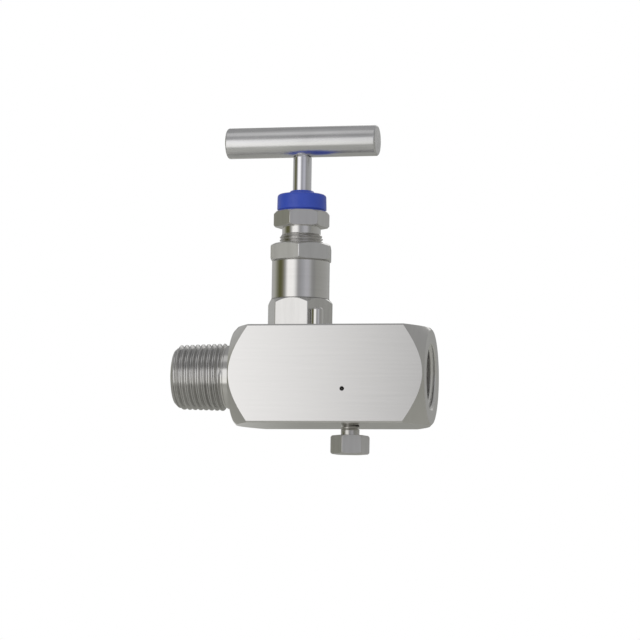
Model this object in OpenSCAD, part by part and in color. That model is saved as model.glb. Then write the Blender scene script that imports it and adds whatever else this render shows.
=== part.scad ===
// Block-pattern instrument needle valve with a bleed screw: square bar body,
// tapered male inlet, tapered female outlet, screwed bonnet and T-bar handle.
// The origin is on the flow axis at the hand-tight plane of the inlet thread.
// +X runs along the flow to the outlet, +Z up along the spindle.
// The valve is drawn shut, and its bleed screw too.

/* [Block] */
// Width across the flats of the square bar
bar_w = 31.5; // [31:0.5:36]
// Length of the block between its two turned end faces
block_len = 63.8; // [62:0.1:80]
// Width of the break along the four long edges of the bar
edge_break = 0.5; // [0.2:0.1:1.5]
// Diameter of the flat that the 45 degree turning leaves on the inlet end
inlet_face_d = 30.8; // [27:0.1:30.9]
// Diameter of the flat that the 45 degree turning leaves on the outlet end
outlet_face_d = 30.3; // [27:0.1:30.9]
// Distance from the block's inlet end face to the spindle axis
spindle_offset = 20.5; // [18:0.5:22]
// Distance from the spindle axis to the bleed screw axis
bleed_offset = 17; // [16.5:0.1:17.5]

/* [Inlet thread, 1/2-14 NPT male] */
// Full diameter over the thread crests
inlet_major_d = 21.34; // [20.5:0.01:24]
// Length of the spigot from the block to its end
inlet_len = 20.1; // [18:0.1:26]
// Length of the taper, from the spigot's end to the hand-tight plane
hand_tight_len = 8.13; // [7:0.01:9]
// Change of thread diameter for each millimetre of length
thread_taper = 0.0625; // [0.04:0.0005:0.07]
// Lead chamfer on the spigot's end, at 45 degrees
inlet_lead = 1.6; // [0.8:0.1:2]
// Diameter of the plain neck between the thread and the block
neck_d = 20.6; // [19.8:0.1:21]
// Length of the neck, with its run-out
neck_len = 2.4; // [1.5:0.1:4]
// Diameter of the neck where it meets the block
neck_root_d = 18.9; // [18:0.1:19.5]
// Diameter of the inlet bore
inlet_bore_d = 6.4; // [5:0.1:6.8]

/* [Outlet thread, 1/2-14 NPT female] */
// Diameter of the hole drilled for the tap
outlet_drill_d = 18.25; // [17.5:0.05:19]
// Depth of the drilled hole to where its point begins
outlet_depth = 18.5; // [17:0.1:19]
// Diameter of the countersink at the mouth
outlet_mouth_d = 21.6; // [20:0.1:23]

/* [Seat and passages] */
// Height of the seat above the flow axis
seat_h = 4.6; // [4.4:0.1:5]
// Diameter of the orifice through the seat
orifice_d = 4.8; // [3.5:0.1:5.2]
// Diameter of the chamber above the seat
chamber_d = 12; // [11:0.1:13]
// Height of the chamber from the seat to the seal ring
chamber_h = 3.4; // [3.2:0.1:5]
// Diameter of the slanting passage from the chamber to the outlet
passage_d = 4.8; // [4:0.1:5]
// Diameter of the bleed orifice
bleed_orifice_d = 2.4; // [1.6:0.1:2.8]
// Depth of the bleed seat below the flow axis
bleed_seat_drop = 3.9; // [3.5:0.1:5]
// Diameter of the vent hole in the front face
vent_d = 1.4; // [1:0.1:2]
// Drop of the vent hole's axis below the bleed seat
vent_drop = 1.05; // [0.8:0.05:1.4]

/* [Bonnet] */
// Diameter of the thread that screws into the block
bonnet_thread_d = 18; // [17:0.1:18.6]
// Width across the flats of the bonnet's hexagon
bonnet_flats = 19; // [18.8:0.1:22]
// Height of the hexagon above the block
bonnet_hex_h = 9.4; // [7:0.1:11]
// Corner bevel on top of the hexagon, at 45 degrees
bonnet_bevel = 1.62; // [0.5:0.01:2]
// Diameter of the round barrel
barrel_d = 18.7; // [17:0.1:18.8]
// Angle of the hexagon about the spindle axis
bonnet_turn = -6.3; // [-30:0.1:30]
// Thickness of the seal ring under the bonnet
seal_t = 1; // [0.6:0.1:2]
// Diameter of the pin that stops the bonnet unscrewing
lock_pin_d = 4; // [3:0.1:4.2]
// Height of the lock pin above the block
lock_pin_h = 5.7; // [3:0.1:7]
// Depth of the lock pin's hole
lock_pin_depth = 5; // [3:0.1:8]
// Distance of the lock pin along its flat from the flat's middle
lock_pin_along = 3.2; // [-3.5:0.1:3.5]

/* [Spindle] */
// Diameter of the polished stem
stem_d = 6; // [5.6:0.1:6.2]
// Diameter of the spindle's thread
stem_thread_d = 8; // [7.6:0.1:8.6]
// Pitch of the spindle's thread
stem_pitch = 1.25; // [1:0.05:1.5]
// Length of the spindle's thread
stem_thread_len = 8; // [7:0.1:10]
// Turns of the handle from shut to open
open_turns = 3; // [2:0.25:3.5]
// Diameter of the spindle's foot below the thread
stem_foot_d = 6.4; // [6.2:0.1:6.8]
// Length of the spindle's foot below the thread
stem_foot_len = 2.5; // [1.5:0.1:3]
// Length of stem seen between the dust cap and the handle
stem_seen = 11.15; // [8:0.05:20]
// Diameter of the stem's end inside the handle
stem_end_d = 5; // [4.4:0.1:5.2]

/* [Needle tip] */
// Diameter of the needle tip
tip_d = 5.6; // [5.4:0.1:6]
// Distance from the seat to the top of the tip
tip_len = 6; // [5:0.1:7]
// Diameter of the blunt end of the tip's cone
tip_end_d = 2; // [1:0.1:3]
// Included angle of the tip's cone
tip_angle = 60; // [50:1:90]
// Diameter of the tip's narrow neck
tip_neck_d = 3; // [2.4:0.1:3.2]
// Diameter of the tip's button head, caught in the spindle's foot
tip_button_d = 4.2; // [4:0.1:4.6]
// Thickness of the button head
tip_button_t = 1.1; // [0.8:0.1:1.4]
// Thickness of the lip rolled in under the button head
tip_lip_t = 0.9; // [0.7:0.1:1.1]
// Diameter of the thrust ball between the tip and the spindle
thrust_ball_d = 2.5; // [2:0.1:3]

/* [Packing] */
// Diameter of the packing box
packing_d = 10; // [9.4:0.1:10.6]
// Length of the close hole between the back seat and the packing box
packing_land = 0.6; // [0.4:0.1:1]
// Length of the plain foot of the lower packing adapter
packing_foot = 0.6; // [0.4:0.1:1.5]
// Height of the wedge on each packing piece
packing_wedge = 0.95; // [0.6:0.05:1.2]
// Thickness of each packing ring along the spindle
packing_ring_t = 1.1; // [0.8:0.1:1.6]
// Thickness of the upper packing adapter above its groove
packing_cover = 0.7; // [0.5:0.1:1.5]
// Thickness of the packing follower
follower_t = 1.05; // [0.8:0.05:2]
// Room under the gland bolt's foot for screwing it down
gland_room = 0.4; // [0.2:0.1:0.6]

/* [Gland bolt and lock nut] */
// Diameter of the gland bolt's thread
gland_thread_d = 14; // [13:0.1:14.6]
// Length of gland thread inside the bonnet
gland_grip = 4.45; // [3.5:0.05:7]
// Diameter of the gland bolt's neck under its head
gland_neck_d = 12.5; // [11.5:0.1:12.8]
// Length of that neck
gland_neck_len = 2.4; // [0.8:0.1:2.5]
// Length of the gland bolt seen between the lock nut and its head
gland_seen = 5.6; // [4:0.1:8]
// Width across the flats of the gland bolt's head
gland_flats = 15.8; // [15:0.1:17]
// Height of the gland bolt's head
gland_head_h = 5.1; // [4:0.1:7]
// Corner bevel on top of the gland bolt's head, at 45 degrees
gland_bevel = 0.9; // [0.4:0.1:1.8]
// Corner bevel under the gland bolt's head, at 45 degrees
gland_foot_bevel = 0.6; // [0.2:0.1:1.8]
// Angle of the gland bolt's head about the spindle axis
gland_turn = 16; // [-30:0.5:30]
// Diameter of the round boss that the dust cap grips
boss_d = 12; // [11:0.1:12.6]
// Height of that boss
boss_h = 3.8; // [2.5:0.1:4]
// Width across the flats of the lock nut
nut_flats = 19; // [17:0.1:22]
// Height of the lock nut
nut_h = 5.4; // [4:0.1:8]
// Corner bevel on top of the lock nut, at 30 degrees
nut_bevel = 1.9; // [0.5:0.1:2.2]
// Corner bevel under the lock nut, at 30 degrees
nut_foot_bevel = 0.8; // [0.2:0.1:2]
// Angle of the lock nut about the spindle axis
nut_turn = -22.7; // [-30:0.1:30]

/* [Dust cap] */
// Outside diameter of the cap
cap_d = 16; // [14.6:0.1:16.6]
// Height of the cap's side
cap_h = 5.5; // [5:0.1:7]
// Radius of the cap's rounded shoulder
cap_round = 0.9; // [0.3:0.1:1.4]
// Diameter of the cap's hub at its foot
cap_hub_d = 9.2; // [8:0.1:10]
// Diameter of the cap's hub at its top
cap_hub_top_d = 7.4; // [7:0.1:8]
// Height of the cap's hub
cap_hub_h = 1.2; // [0.4:0.1:2]

/* [Handle] */
// Diameter of the T-bar
handle_d = 10; // [9.6:0.1:12]
// Length of the T-bar
handle_len = 50; // [40:1:80]
// Chamfer on the T-bar's ends
handle_chamfer = 0.4; // [0.2:0.1:1]
// Wall of the T-bar left above the stem's end
handle_wall = 2; // [1.2:0.1:3]
// Angle of the shut T-bar about the spindle axis
handle_turn = -2.5; // [-30:0.5:30]
// Diameter of the grub screw that holds the T-bar
grub_d = 3; // [2.5:0.1:3.4]
// Width across the flats of the grub screw's socket
grub_flats = 1.5; // [1.3:0.1:1.6]
// Depth of the flat on the stem's end under the grub screw
grub_flat_cut = 0.3; // [0.2:0.05:0.6]

/* [Bleed screw] */
// Diameter of the bleed screw's thread
bleed_thread_d = 6; // [5.8:0.1:6.6]
// Pitch of the bleed screw's thread
bleed_pitch = 1; // [0.75:0.05:1.25]
// Turns of the bleed screw from shut to open
bleed_turns = 2; // [1:0.25:2.5]
// Diameter of the drilled bore round the bleed screw's nose
bleed_bore_d = 5; // [4.9:0.05:5.2]
// Diameter of the bleed screw's nose
bleed_nose_d = 4.8; // [4.6:0.05:4.8]
// Depth of the nose bore below the bleed seat
bleed_nose_len = 4.6; // [4.2:0.1:6]
// Diameter of the bleed ball
bleed_ball_d = 3.6; // [3.4:0.1:3.8]
// Depth of the ball's centre inside the nose that is peened round it
bleed_ball_grip = 0.5; // [0.3:0.1:0.8]
// Length of the bleed screw seen between the block and its head
bleed_seen = 3.15; // [2:0.05:6]
// Width across the flats of the bleed screw's head
bleed_flats = 11; // [9:0.1:13]
// Height of the bleed screw's head
bleed_head_h = 5.9; // [4:0.1:8]
// Corner bevel on both ends of the bleed screw's head, at 45 degrees
bleed_bevel = 0.5; // [0.2:0.1:1.2]
// Angle of the bleed screw's head about its axis
bleed_turn = 15.8; // [-30:0.1:30]

/* [Fits] */
// Radial room between a thread and its nut
thread_clear = 0.05; // [0.02:0.01:0.1]
// Radial room round the stem, the needle tip's neck and what slides
slide_clear = 0.05; // [0.02:0.01:0.1]
// Radial room round the lock pin and the grub screw
tight_clear = 0.01; // [0.005:0.005:0.03]
// Gap left between a seat and what shuts it
seat_gap = 0.02; // [0.01:0.01:0.05]
// Gap left between faces that meet when something turns
face_gap = 0.1; // [0.05:0.01:0.2]

/* [Hidden] */
$fn = 96;

steel = [0.80, 0.80, 0.79];
bright_steel = [0.86, 0.86, 0.87];
cap_blue = [0.25, 0.32, 0.69];
packing_white = [0.93, 0.92, 0.88];

// how far a cutting tool runs past the face it opens
cut = 1;
// drill points are ground to 118 degrees
drill_tan = tan(59);

// along the flow
inlet_end_x = -hand_tight_len;
block_x0 = inlet_end_x + inlet_len;
block_x1 = block_x0 + block_len;
spindle_x = block_x0 + spindle_offset;
bleed_x = spindle_x + bleed_offset;
outlet_floor_x = block_x1 - outlet_depth;

// up the spindle, from the seat
block_top = bar_w / 2;
seat_z = seat_h;
counterbore_z = seat_z + chamber_h;
bonnet_foot_z = counterbore_z + seal_t;
bonnet_bore_d = bonnet_thread_d + 2 * thread_clear;
lift = stem_pitch * open_turns;
tip_top_z = seat_z + tip_len;
stem_foot_z = tip_top_z + face_gap;
tip_button_z = stem_foot_z + tip_lip_t + face_gap / 2;
tip_button_top_z = tip_button_z + tip_button_t;
stem_thread_z = stem_foot_z + stem_foot_len;
stem_shoulder_z = stem_thread_z + stem_thread_len;
stem_hole_d = stem_d + 2 * slide_clear;
stem_thread_hole_d = stem_thread_d + 2 * thread_clear;
backseat_z = stem_shoulder_z + lift + face_gap;
backseat_top_z = backseat_z + (stem_thread_hole_d - stem_hole_d) / 2;
packing_z = backseat_top_z + packing_land;
follower_z = packing_z + packing_foot + 3 * packing_ring_t + packing_wedge + packing_cover;
gland_foot_z = follower_z + follower_t;
gland_floor_z = gland_foot_z - gland_room;
bonnet_hex_top_z = block_top + bonnet_hex_h;
bonnet_top_z = gland_foot_z + gland_grip;
nut_top_z = bonnet_top_z + nut_h;
gland_head_z = nut_top_z + gland_seen;
gland_head_top_z = gland_head_z + gland_head_h;
cap_z = gland_head_top_z + face_gap;
cap_hub_z = cap_z + cap_h;
handle_z = cap_hub_z + cap_hub_h + stem_seen + handle_d / 2;
stem_top_z = handle_z + handle_d / 2 - handle_wall;
gland_thread_hole_d = gland_thread_d + 2 * thread_clear;

// down the bleed screw, from its seat
bleed_seat_z = -bleed_seat_drop;
bleed_ball_z = bleed_seat_z - seat_gap
    - sqrt(pow(bleed_ball_d / 2, 2) - pow(bleed_orifice_d / 2, 2));
bleed_nose_z = bleed_ball_z + bleed_ball_grip;
bleed_step_z = bleed_seat_z - bleed_nose_len;
bleed_head_top_z = -block_top - bleed_seen;
bleed_thread_hole_d = bleed_thread_d + 2 * thread_clear;

// hexagonal bar with its corners turned off at 45 or 30 degrees at either end
module hex_bar(flats, height, bevel_top, bevel_foot, slope) {
    corner = flats / 2 / cos(30);
    far = corner + cut;
    intersection() {
        cylinder(h = height, d = 2 * corner, $fn = 6);
        rotate_extrude() polygon([
            [0, 0], [corner - bevel_foot, 0],
            [far, (bevel_foot + cut) * tan(slope)],
            [far, height - (bevel_top + cut) * tan(slope)],
            [corner - bevel_top, height], [0, height]]);
    }
}

// what stands on the spindle axis
module on_spindle() {
    translate([spindle_x, 0, 0]) children();
}

// a solid of revolution about the flow axis, its outline given as [x, radius]
module turned_on_flow(outline) {
    rotate([0, 90, 0]) rotate_extrude() polygon([for (p = outline) [p[1], p[0]]]);
}

// square bar with both ends turned down to a circle at 45 degrees
module block() {
    reach = bar_w;
    inlet_r = inlet_face_d / 2;
    outlet_r = outlet_face_d / 2;
    half = bar_w / 2;
    intersection() {
        translate([block_x0, 0, 0]) rotate([90, 0, 90]) linear_extrude(block_len)
            polygon([for (q = [[1, 1], [-1, 1], [-1, -1], [1, -1]])
                for (k = q[0] * q[1] > 0 ? [0, 1] : [1, 0])
                    [q[0] * (half - k * edge_break), q[1] * (half - (1 - k) * edge_break)]]);
        turned_on_flow([
            [block_x0, 0], [block_x0, inlet_r], [block_x0 + reach - inlet_r, reach],
            [block_x1 - reach + outlet_r, reach], [block_x1, outlet_r], [block_x1, 0]]);
    }
}

// tapered thread spigot: lead chamfer, taper to the hand-tight plane, full
// diameter, then a plain neck that runs down to the block
module inlet_spigot() {
    r = inlet_major_d / 2;
    lead_x = inlet_end_x + inlet_lead;
    lead_r = r + thread_taper / 2 * lead_x;
    neck_x = block_x0 - neck_len;
    turned_on_flow([
        [inlet_end_x, 0], [inlet_end_x, lead_r - inlet_lead], [lead_x, lead_r],
        [0, r], [neck_x - (r - neck_d / 2), r], [neck_x, neck_d / 2],
        [block_x0 - (neck_d - neck_root_d) / 2, neck_d / 2],
        [block_x0, neck_root_d / 2], [block_x0 + cut, neck_root_d / 2],
        [block_x0 + cut, 0]]);
}

module valve_body() {
    inlet_r = inlet_bore_d / 2;
    drill_r = outlet_drill_d / 2;
    mouth_r = outlet_mouth_d / 2;
    // the passage leaves the chamber low on its wall and runs down to the outlet
    inset = 0.5;
    rise = 0.4;
    overlap = 1.5;
    start = [chamber_d / 2 - inset, seat_z + rise];
    goal = [outlet_floor_x - spindle_x - overlap, 0];
    run = goal - start;
    slant = atan2(run[0], run[1]);
    passage_z = start[1] + run[1] * (bleed_offset - start[0]) / run[0];
    color(steel) difference() {
        union() {
            block();
            inlet_spigot();
        }
        // inlet bore with its drill point under the seat
        turned_on_flow([
            [inlet_end_x - cut, 0], [inlet_end_x - cut, inlet_r],
            [spindle_x + cut, inlet_r], [spindle_x + cut + inlet_r / drill_tan, 0]]);
        // outlet hole with its countersink and drill point
        turned_on_flow([
            [block_x1 + cut, 0], [block_x1 + cut, mouth_r + cut], [block_x1, mouth_r],
            [block_x1 - (mouth_r - drill_r), drill_r], [outlet_floor_x, drill_r],
            [outlet_floor_x - drill_r / drill_tan, 0]]);
        on_spindle() {
            cylinder(h = seat_z + cut, d = orifice_d);
            translate([0, 0, seat_z]) cylinder(h = block_top, d = chamber_d);
            translate([0, 0, counterbore_z]) cylinder(h = block_top, d = bonnet_bore_d);
            translate([start[0], 0, start[1]]) rotate([0, slant, 0])
                cylinder(h = norm(run) + 2 * cut, d = passage_d);
        }
        translate([bleed_x, 0, 0]) {
            translate([0, 0, bleed_seat_z - cut])
                cylinder(h = passage_z - bleed_seat_z + cut, d = bleed_orifice_d);
            translate([0, 0, -block_top - cut])
                cylinder(h = block_top + cut + bleed_seat_z, d = bleed_bore_d);
            translate([0, 0, -block_top - cut])
                cylinder(h = block_top + cut + bleed_step_z, d = bleed_thread_hole_d);
            translate([0, 0, bleed_seat_z - vent_drop]) rotate([90, 0, 0])
                cylinder(h = block_top + cut, d = vent_d);
        }
        lock_pin_place() translate([0, 0, -lock_pin_depth])
            cylinder(h = lock_pin_depth + cut, d = lock_pin_d + 2 * tight_clear);
    }
}

// the lock pin stands on the block, its side close to one flat of the hexagon
module lock_pin_place() {
    off_flat = bonnet_flats / 2 + face_gap + lock_pin_d / 2;
    on_spindle() rotate([0, 0, bonnet_turn - 30])
        translate([off_flat, -lock_pin_along, block_top]) children();
}

module body_seal_ring() {
    color(packing_white) on_spindle() translate([0, 0, counterbore_z]) difference() {
        cylinder(h = seal_t, d = bonnet_thread_d);
        translate([0, 0, -cut]) cylinder(h = seal_t + 2 * cut, d = chamber_d);
    }
}

module bonnet() {
    thread_r = stem_thread_hole_d / 2;
    hole_r = stem_hole_d / 2;
    // the room for the tip is narrower than the chamber and rises past the foot
    step = 1;
    rise = 0.8;
    lead = 0.8;
    tip_room_r = chamber_d / 2 - step;
    tip_room_z = stem_thread_z + rise;
    color(steel) on_spindle() difference() {
        union() {
            // screwed foot, with a lead chamfer
            rotate_extrude() polygon([
                [0, bonnet_foot_z], [bonnet_thread_d / 2 - lead, bonnet_foot_z],
                [bonnet_thread_d / 2, bonnet_foot_z + lead],
                [bonnet_thread_d / 2, block_top + cut], [0, block_top + cut]]);
            translate([0, 0, block_top]) rotate([0, 0, bonnet_turn])
                hex_bar(bonnet_flats, bonnet_hex_h, bonnet_bevel, 0, 45);
            translate([0, 0, block_top]) cylinder(h = bonnet_top_z - block_top, d = barrel_d);
        }
        // from below: room for the tip, stem thread, back seat, stem hole,
        // packing box and gland thread
        rotate_extrude() polygon([
            [0, bonnet_foot_z - cut], [tip_room_r, bonnet_foot_z - cut],
            [tip_room_r, tip_room_z], [thread_r, tip_room_z + tip_room_r - thread_r],
            [thread_r, backseat_z], [hole_r, backseat_top_z], [hole_r, packing_z],
            [packing_d / 2, packing_z], [packing_d / 2, gland_floor_z],
            [gland_thread_hole_d / 2, gland_floor_z],
            [gland_thread_hole_d / 2, bonnet_top_z + cut], [0, bonnet_top_z + cut]]);
    }
}

module bonnet_lock_pin() {
    bevel = lock_pin_d / 8;
    color(bright_steel) lock_pin_place() rotate_extrude() polygon([
        [0, -lock_pin_depth], [lock_pin_d / 2, -lock_pin_depth],
        [lock_pin_d / 2, lock_pin_h - bevel], [lock_pin_d / 2 - bevel, lock_pin_h],
        [0, lock_pin_h]]);
}

module spindle() {
    thread_r = stem_thread_d / 2;
    foot_r = stem_foot_d / 2;
    button_room = tip_button_t + 2 * face_gap;
    lip_z = stem_foot_z + tip_lip_t;
    color(bright_steel) on_spindle() difference() {
        rotate_extrude() polygon([
            [0, stem_foot_z], [foot_r, stem_foot_z], [foot_r, stem_thread_z],
            [thread_r, stem_thread_z + thread_r - foot_r],
            [thread_r, stem_shoulder_z], [stem_d / 2, stem_shoulder_z + thread_r - stem_d / 2],
            [stem_d / 2, handle_z - handle_d / 2 - face_gap],
            [stem_end_d / 2, handle_z - handle_d / 2 - face_gap],
            [stem_end_d / 2, stem_top_z - face_gap], [0, stem_top_z - face_gap]]);
        // lip rolled in under the tip's button, and the pocket for the thrust ball
        translate([0, 0, stem_foot_z - cut])
            cylinder(h = tip_lip_t + 2 * cut, d = tip_neck_d + 2 * slide_clear);
        translate([0, 0, lip_z])
            cylinder(h = button_room, d = tip_button_d + 2 * slide_clear);
        translate([0, 0, lip_z])
            cylinder(h = button_room + thrust_ball_d, d = thrust_ball_d + 2 * slide_clear);
        // flat for the grub screw
        rotate([0, 0, handle_turn])
            translate([-stem_end_d, stem_end_d / 2 - grub_flat_cut, handle_z - grub_d])
                cube([2 * stem_end_d, stem_end_d, handle_d]);
    }
}

module needle_tip() {
    slope = tan(tip_angle / 2);
    orifice_r = orifice_d / 2;
    // the cone shuts on the rim of the orifice
    cone_z = seat_z + seat_gap;
    end_z = cone_z - (orifice_r - tip_end_d / 2) / slope;
    wide_z = cone_z + (tip_d / 2 - orifice_r) / slope;
    color(bright_steel) on_spindle() rotate_extrude() polygon([
        [0, end_z], [tip_end_d / 2, end_z], [tip_d / 2, wide_z], [tip_d / 2, tip_top_z],
        [tip_neck_d / 2, tip_top_z], [tip_neck_d / 2, tip_button_z],
        [tip_button_d / 2, tip_button_z], [tip_button_d / 2, tip_button_top_z],
        [0, tip_button_top_z]]);
}

module thrust_ball() {
    color(bright_steel) on_spindle()
        translate([0, 0, tip_button_top_z + thrust_ball_d / 2 + seat_gap]) sphere(d = thrust_ball_d);
}

// one packing piece: a ring with a wedge on top, a groove below, or both
module packing_piece(z, height, grooved, wedged) {
    inner = stem_hole_d / 2;
    outer = packing_d / 2 - slide_clear;
    middle = (inner + outer) / 2;
    foot = grooved ? [[middle, z + packing_wedge]] : [];
    crown = wedged ? [[middle, z + height + packing_wedge]] : [];
    color(packing_white) on_spindle() rotate_extrude() polygon(concat(
        [[inner, z]], foot, [[outer, z], [outer, z + height]], crown, [[inner, z + height]]));
}

module packing_ring(place) {
    packing_piece(packing_z + packing_foot + place * packing_ring_t, packing_ring_t, true, true);
}

module packing_lower_adapter() {
    packing_piece(packing_z, packing_foot, false, true);
}

module packing_ring_lower() {
    packing_ring(0);
}

module packing_ring_middle() {
    packing_ring(1);
}

module packing_ring_upper() {
    packing_ring(2);
}

module packing_upper_adapter() {
    packing_piece(packing_z + packing_foot + 3 * packing_ring_t,
        packing_wedge + packing_cover, true, false);
}

module packing_follower() {
    color(steel) on_spindle() translate([0, 0, follower_z]) difference() {
        cylinder(h = follower_t, d = packing_d - 2 * slide_clear);
        translate([0, 0, -cut]) cylinder(h = follower_t + 2 * cut, d = stem_hole_d);
    }
}

module gland_bolt() {
    thread_r = gland_thread_d / 2;
    neck_r = gland_neck_d / 2;
    neck_z = gland_head_z - gland_neck_len;
    lead = 0.6;
    color(steel) on_spindle() difference() {
        union() {
            rotate_extrude() polygon([
                [0, gland_foot_z], [thread_r - lead, gland_foot_z],
                [thread_r, gland_foot_z + lead], [thread_r, neck_z - (thread_r - neck_r)],
                [neck_r, neck_z], [neck_r, gland_head_z + cut], [0, gland_head_z + cut]]);
            translate([0, 0, gland_head_z]) rotate([0, 0, gland_turn])
                hex_bar(gland_flats, gland_head_h, gland_bevel, gland_foot_bevel, 45);
            translate([0, 0, gland_head_z]) cylinder(h = gland_head_h + boss_h, d = boss_d);
        }
        translate([0, 0, gland_foot_z - cut])
            cylinder(h = cap_hub_z - gland_foot_z, d = stem_hole_d);
    }
}

module gland_lock_nut() {
    color(steel) on_spindle() translate([0, 0, bonnet_top_z]) difference() {
        rotate([0, 0, nut_turn]) hex_bar(nut_flats, nut_h, nut_bevel, nut_foot_bevel, 30);
        translate([0, 0, -cut]) cylinder(h = nut_h + 2 * cut, d = gland_thread_hole_d);
    }
}

// moulded cap: side with a rounded shoulder, crown, and a low hub round the stem
module dust_cap() {
    r = cap_d / 2;
    draft = 0.15;
    crown_t = 1.2;
    color(cap_blue) on_spindle() translate([0, 0, cap_z]) difference() {
        rotate_extrude() polygon(concat(
            [[0, 0], [r - draft, 0]],
            [for (a = [0:15:90]) [r - cap_round * (1 - cos(a)), cap_h - cap_round * (1 - sin(a))]],
            [[cap_hub_d / 2, cap_h], [cap_hub_top_d / 2, cap_h + cap_hub_h],
            [0, cap_h + cap_hub_h]]));
        translate([0, 0, -cut])
            cylinder(h = cap_h - crown_t + cut, d = boss_d + 2 * slide_clear);
        translate([0, 0, -cut]) cylinder(h = 2 * cap_h + cut, d = stem_hole_d);
    }
}

// what turns with the T-bar, with the bar along X and the grub screw behind
module on_handle() {
    translate([spindle_x, 0, handle_z]) rotate([0, 0, handle_turn]) children();
}

module handle_bar() {
    r = handle_d / 2;
    half = handle_len / 2;
    color(steel) on_handle() difference() {
        rotate([0, 90, 0]) rotate_extrude() polygon([
            [0, -half], [r - handle_chamfer, -half], [r, handle_chamfer - half],
            [r, half - handle_chamfer], [r - handle_chamfer, half], [0, half]]);
        translate([0, 0, -r - cut])
            cylinder(h = 2 * r - handle_wall + cut, d = stem_end_d + 2 * tight_clear);
        rotate([-90, 0, 0]) cylinder(h = r + cut, d = grub_d + 2 * tight_clear);
    }
}

module handle_grub_screw() {
    flat_y = stem_end_d / 2 - grub_flat_cut;
    len = handle_d / 2 - flat_y - 2 * face_gap;
    color(bright_steel) on_handle() translate([0, flat_y + seat_gap, 0]) rotate([-90, 0, 0])
        difference() {
            cylinder(h = len, d = grub_d);
            translate([0, 0, len / 2]) cylinder(h = len, d = grub_flats / cos(30), $fn = 6);
        }
}

module bleed_screw() {
    thread_r = bleed_thread_d / 2;
    nose_r = bleed_nose_d / 2;
    shoulder_z = bleed_step_z - 2 * face_gap;
    color(steel) translate([bleed_x, 0, 0]) difference() {
        union() {
            rotate_extrude() polygon([
                [0, bleed_head_top_z - cut], [thread_r, bleed_head_top_z - cut],
                [thread_r, shoulder_z - (thread_r - nose_r)], [nose_r, shoulder_z],
                [nose_r, bleed_nose_z], [0, bleed_nose_z]]);
            translate([0, 0, bleed_head_top_z - bleed_head_h]) rotate([0, 0, bleed_turn])
                hex_bar(bleed_flats, bleed_head_h, bleed_bevel, bleed_bevel, 45);
        }
        // spherical pocket, its rim peened in round the ball
        translate([0, 0, bleed_ball_z]) sphere(d = bleed_ball_d + 2 * seat_gap);
    }
}

module bleed_ball() {
    color(bright_steel) translate([bleed_x, 0, bleed_ball_z]) sphere(d = bleed_ball_d);
}

valve_body();
body_seal_ring();
bonnet();
bonnet_lock_pin();
spindle();
thrust_ball();
needle_tip();
packing_lower_adapter();
packing_ring_lower();
packing_ring_middle();
packing_ring_upper();
packing_upper_adapter();
packing_follower();
gland_bolt();
gland_lock_nut();
dust_cap();
handle_bar();
handle_grub_screw();
bleed_screw();
bleed_ball();
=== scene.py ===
"""Dressed model of a block-pattern instrument needle valve with a bleed screw.

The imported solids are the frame: every machined face keeps its place and size. This script cuts
the threads, breaks the edges and finishes each surface as the workshop leaves it.
"""
import math

import bmesh
import bpy
import numpy as np
from mathutils import Matrix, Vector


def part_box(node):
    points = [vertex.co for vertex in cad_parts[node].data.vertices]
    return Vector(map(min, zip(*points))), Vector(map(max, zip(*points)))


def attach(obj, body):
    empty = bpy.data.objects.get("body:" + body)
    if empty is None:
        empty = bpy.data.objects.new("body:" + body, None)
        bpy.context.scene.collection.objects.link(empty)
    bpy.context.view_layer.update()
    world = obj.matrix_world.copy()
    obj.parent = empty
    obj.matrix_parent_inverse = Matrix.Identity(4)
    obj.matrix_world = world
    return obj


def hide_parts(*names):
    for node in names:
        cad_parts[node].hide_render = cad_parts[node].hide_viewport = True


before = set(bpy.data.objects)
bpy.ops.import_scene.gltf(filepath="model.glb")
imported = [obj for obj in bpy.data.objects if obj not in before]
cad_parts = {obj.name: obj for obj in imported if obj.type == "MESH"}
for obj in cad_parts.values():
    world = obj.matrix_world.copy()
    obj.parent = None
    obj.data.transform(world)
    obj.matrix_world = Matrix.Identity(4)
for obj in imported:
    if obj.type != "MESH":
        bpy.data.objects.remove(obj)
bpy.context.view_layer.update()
MM = 0.001

# --- Valve body ---------------------------------------------------------------------------
# A length of square stainless bar. Its flats are ground, both ends are turned down at
# 45 degrees, and tapered pipe threads are cut on the inlet spigot and inside the outlet.


def cross_axes(axis):
    """Two directions square to the axis and to each other. Angles round the axis are counted
    from the first towards the second, so they turn with a right-hand thread."""
    across = np.array([0.0, 1.0, 0.0]) if abs(axis[0]) > 0.5 else np.array([1.0, 0.0, 0.0])
    return across, np.cross(axis, across)


def cylindrical(points, centre, axis):
    """Each point's place along the axis, its distance from the axis and its angle round it."""
    across, other = cross_axes(axis)
    offset = np.asarray(points, float) - centre
    side, up = offset @ across, offset @ other
    return offset @ axis, np.hypot(side, up), np.arctan2(up, side)


def settle(piece):
    """Works the piece's modifiers into its mesh."""
    graph = bpy.context.evaluated_depsgraph_get()
    shaped = bpy.data.meshes.new_from_object(piece.evaluated_get(graph))
    piece.modifiers.clear()
    piece.data = shaped


def new_piece(name, content):
    """An object at the origin that holds the mesh or camera."""
    piece = bpy.data.objects.new(name, content)
    bpy.context.scene.collection.objects.link(piece)
    return piece


# A turned wall in the frame has flat facets, whose corners lie within this of the true wall.
facet_error = 0.04 * MM


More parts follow.
